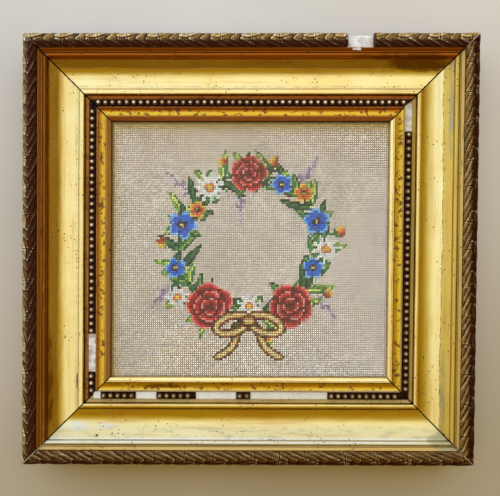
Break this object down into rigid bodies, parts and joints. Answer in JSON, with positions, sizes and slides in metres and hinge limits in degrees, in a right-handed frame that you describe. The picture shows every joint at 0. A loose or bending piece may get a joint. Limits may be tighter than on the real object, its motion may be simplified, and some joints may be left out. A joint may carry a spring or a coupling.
{
  "type": "embroidered picture in a gilt frame",
  "caption": "Counted-stitch flower picture on canvas, stretched in a deep mitred gilt frame with a hollow cove, an edge of cast leaves and an inner row of cast beads, worn and chipped.",
  "frame": {"origin": "middle of the frame's outline, at the height of the rails' backs", "axes": "+X along the picture's bottom edge to its right, +Y up the picture, +Z out of its face"},
  "size_m": [0.4046, 0.382, 0.044],
  "materials": {
    "gold_leaf": "aged gold leaf over gesso on wood, rubbed and speckled",
    "dark_gilt": "darkened gilding on cast composition ornament, dusty gold on the high points",
    "worked_canvas": "counted wool stitches on a beige canvas ground"
  },
  "bodies": {
    "root": {"canvas_sheet": "worked_canvas", "rail_bottom": "gold_leaf", "rail_right": "gold_leaf", "rail_top": "gold_leaf", "rail_left": "gold_leaf", "slip_bottom": "gold_leaf", "slip_right": "gold_leaf", "slip_top": "gold_leaf", "slip_left": "gold_leaf", "leaf_bottom": "dark_gilt", "leaf_right": "dark_gilt", "leaf_top_east": "dark_gilt", "leaf_top_west": "dark_gilt", "leaf_left": "dark_gilt", "bead_bottom_1": "dark_gilt", "bead_bottom_2": "dark_gilt", "bead_bottom_3": "dark_gilt", "bead_bottom_4": "dark_gilt", "bead_right": "dark_gilt", "bead_top": "dark_gilt", "bead_left_north": "dark_gilt", "bead_left_south": "dark_gilt"}
  },
  "joints": []
}
